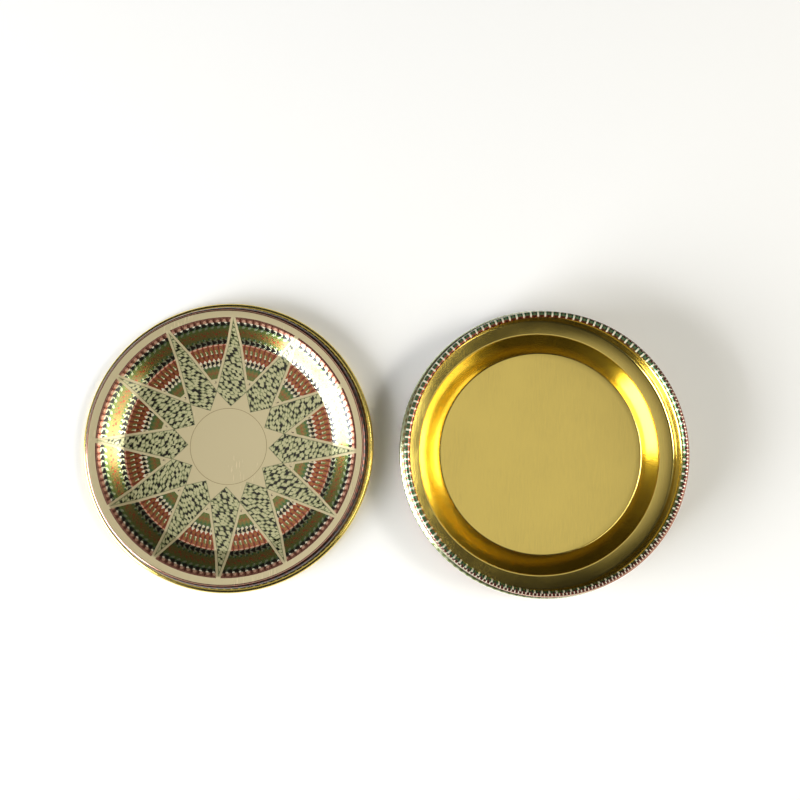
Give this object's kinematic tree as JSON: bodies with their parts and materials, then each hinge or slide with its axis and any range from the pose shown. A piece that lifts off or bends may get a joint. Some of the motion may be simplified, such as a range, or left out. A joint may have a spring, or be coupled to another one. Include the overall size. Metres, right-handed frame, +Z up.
{
  "type": "slip-lid tin",
  "caption": "Shallow round slip-lid tin for saffron, open: a gold-lacquered base with beaded wall and curled mouth, and beside it a lid with a sunk, patterned panel.",
  "frame": {"origin": "on the table, midway along the whole length of the lid and base standing side by side", "axes": "+X from the lid to the base, +Z up along both pieces' axes"},
  "size_m": [0.1395, 0.0676, 0.0112],
  "materials": {
    "gold_lacquer": "gold lacquer on tinplate, gloss",
    "printed_tinplate": "printed and varnished tinplate, gloss"
  },
  "bodies": {
    "base": {"base": "gold_lacquer"},
    "lid": {"lid": "printed_tinplate"}
  },
  "joints": [
    {"name": "lid_lift", "type": "slide", "parent": "base", "child": "lid", "axis": [0, 0, 1], "range_m": [0, 0.04]}
  ]
}
